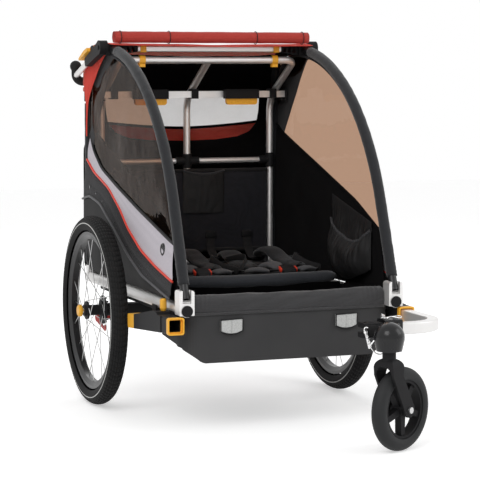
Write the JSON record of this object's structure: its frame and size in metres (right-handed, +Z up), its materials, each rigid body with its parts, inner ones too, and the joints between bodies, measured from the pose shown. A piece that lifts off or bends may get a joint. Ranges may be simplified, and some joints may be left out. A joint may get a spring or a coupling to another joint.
{
  "type": "child bicycle trailer",
  "caption": "Child bicycle trailer set up as a stroller: aluminium frame, fabric cabin with folding seat frame, tilting handlebar, push-button wheels and a swivel caster on the tow bar.",
  "frame": {"origin": "centre of the overall box in plan, on the ground under the wheels", "axes": "+X to the right of a child in the seat's own left-right line seen from behind, towards the tow bar's side; +Y to the rear, towards the handlebar grip; +Z up"},
  "size_m": [0.79, 1.248, 0.9926],
  "materials": {
    "silver_tube": "satin",
    "black_tube": "satin",
    "silver_steel": "satin",
    "chrome_wire": "polished",
    "black_plastic": "matte",
    "gloss_black": "glossy",
    "yellow_plastic": "satin",
    "red_paint": "satin",
    "reflector_clear": "glossy",
    "tyre_rubber": "matte",
    "caster_rubber": "matte",
    "foam": "matte",
    "black_fabric": "woven",
    "red_fabric": "woven",
    "window_tint": "glossy, see-through"
  },
  "bodies": {
    "chassis": {"base_frame": "silver_tube", "axle_beam": "black_tube", "rail_end_plugs": "black_plastic", "axle_brackets": "black_plastic", "wheel_axles": "silver_steel", "floor_tub": "black_plastic", "bumper": "black_plastic", "front_reflectors": "reflector_clear", "hoop_brackets": "silver_tube", "side_hoops": "black_tube", "hoop_sleeves": "black_fabric", "receivers": "black_plastic", "receiver_bezels": "yellow_plastic", "tow_bar": "silver_tube", "hitch_head": "black_plastic", "hitch_pin": "chrome_wire", "hitch_strap": "black_fabric", "caster_mount": "gloss_black", "front_bar": "silver_tube", "elbow_arms": "black_plastic", "bar_end_clips": "yellow_plastic", "latch_catches": "black_plastic", "seat_pivots": "black_plastic", "side_panels": "black_fabric", "side_windows": "window_tint", "canopy": "red_fabric", "rolled_cover": "red_fabric", "seat_base": "black_fabric", "harnesses": "black_fabric"},
    "left_wheel": {"left_tyre": "tyre_rubber", "left_rim": "silver_tube", "left_spokes": "silver_steel", "left_hub": "black_plastic"},
    "left_axle_button": {"left_release_button": "yellow_plastic"},
    "left_pin": {"left_lock_pin": "yellow_plastic"},
    "right_wheel": {"right_tyre": "tyre_rubber", "right_rim": "silver_tube", "right_spokes": "silver_steel", "right_hub": "black_plastic"},
    "right_axle_button": {"right_release_button": "yellow_plastic"},
    "right_pin": {"right_lock_pin": "yellow_plastic"},
    "brake": {"brake_bar": "red_paint"},
    "caster_swivel": {"caster_fork": "black_plastic", "caster_bolt": "silver_steel"},
    "caster_wheel": {"caster_tyre": "caster_rubber", "caster_rim": "black_plastic"},
    "seat_frame": {"seat_frame_tubes": "silver_tube", "mid_bar": "silver_tube", "tee_connectors": "black_plastic", "rear_crossbar": "silver_tube", "grip_housings": "black_plastic", "bar_collars": "yellow_plastic", "seat_back": "black_fabric"},
    "left_grip": {"left_fold_grip": "yellow_plastic"},
    "right_grip": {"right_fold_grip": "yellow_plastic"},
    "handlebar": {"handlebar_arms": "black_plastic", "handlebar_tube": "silver_tube", "handlebar_grip": "foam"},
    "left_lever": {"left_handlebar_lever": "yellow_plastic"},
    "right_lever": {"right_handlebar_lever": "yellow_plastic"}
  },
  "joints": [
    {"name": "left_wheel_spin", "type": "hinge", "parent": "chassis", "child": "left_wheel", "pos_m": [-0.35, 0.29, 0.252], "axis": [1, 0, 0], "continuous": true},
    {"name": "left_axle_button_press", "type": "slide", "parent": "left_wheel", "child": "left_axle_button", "axis": [1, 0, 0], "range_m": [0, 0.005], "stiffness_N_per_m": 2000, "springref_m": -0.002},
    {"name": "left_pin_lift", "type": "slide", "parent": "chassis", "child": "left_pin", "axis": [0, 0, 1], "range_m": [0, 0.018], "stiffness_N_per_m": 800, "springref_m": -0.004},
    {"name": "right_wheel_spin", "type": "hinge", "parent": "chassis", "child": "right_wheel", "pos_m": [0.35, 0.29, 0.252], "axis": [1, 0, 0], "continuous": true},
    {"name": "right_axle_button_press", "type": "slide", "parent": "right_wheel", "child": "right_axle_button", "axis": [-1, 0, 0], "range_m": [0, 0.005], "stiffness_N_per_m": 2000, "springref_m": -0.002},
    {"name": "right_pin_lift", "type": "slide", "parent": "chassis", "child": "right_pin", "axis": [0, 0, 1], "range_m": [0, 0.018], "stiffness_N_per_m": 800, "springref_m": -0.004},
    {"name": "brake_pedal", "type": "hinge", "parent": "chassis", "child": "brake", "pos_m": [0, 0.368, 0.222], "axis": [1, 0, 0], "range_deg": [-9, 0]},
    {"name": "caster_swivel_turn", "type": "hinge", "parent": "chassis", "child": "caster_swivel", "pos_m": [0.104, -0.588, 0.259], "axis": [0, 0, 1], "continuous": true},
    {"name": "caster_wheel_spin", "type": "hinge", "parent": "caster_swivel", "child": "caster_wheel", "pos_m": [0.14285, -0.56734, 0.099], "axis": [-0.4695, 0.8829, 0], "continuous": true},
    {"name": "seat_frame_fold", "type": "hinge", "parent": "chassis", "child": "seat_frame", "pos_m": [0, 0.545, 0.345], "axis": [1, 0, 0], "range_deg": [0, 70]},
    {"name": "left_grip_squeeze", "type": "slide", "parent": "seat_frame", "child": "left_grip", "axis": [0, 0, 1], "range_m": [0, 0.008], "stiffness_N_per_m": 1200, "springref_m": -0.002},
    {"name": "right_grip_squeeze", "type": "slide", "parent": "seat_frame", "child": "right_grip", "axis": [0, 0, 1], "range_m": [0, 0.008], "stiffness_N_per_m": 1200, "springref_m": -0.002},
    {"name": "handlebar_tilt", "type": "hinge", "parent": "chassis", "child": "handlebar", "pos_m": [0, 0.356, 0.948], "axis": [1, 0, 0], "range_deg": [0, 75]},
    {"name": "left_lever_pull", "type": "hinge", "parent": "handlebar", "child": "left_lever", "pos_m": [-0.306, 0.4218, 0.94775], "axis": [1, 0, 0], "range_deg": [0, 30], "stiffness_Nm_per_rad": 0.6, "springref_deg": -8.59},
    {"name": "right_lever_pull", "type": "hinge", "parent": "handlebar", "child": "right_lever", "pos_m": [0.306, 0.4218, 0.94775], "axis": [1, 0, 0], "range_deg": [0, 30], "stiffness_Nm_per_rad": 0.6, "springref_deg": -8.59}
  ]
}
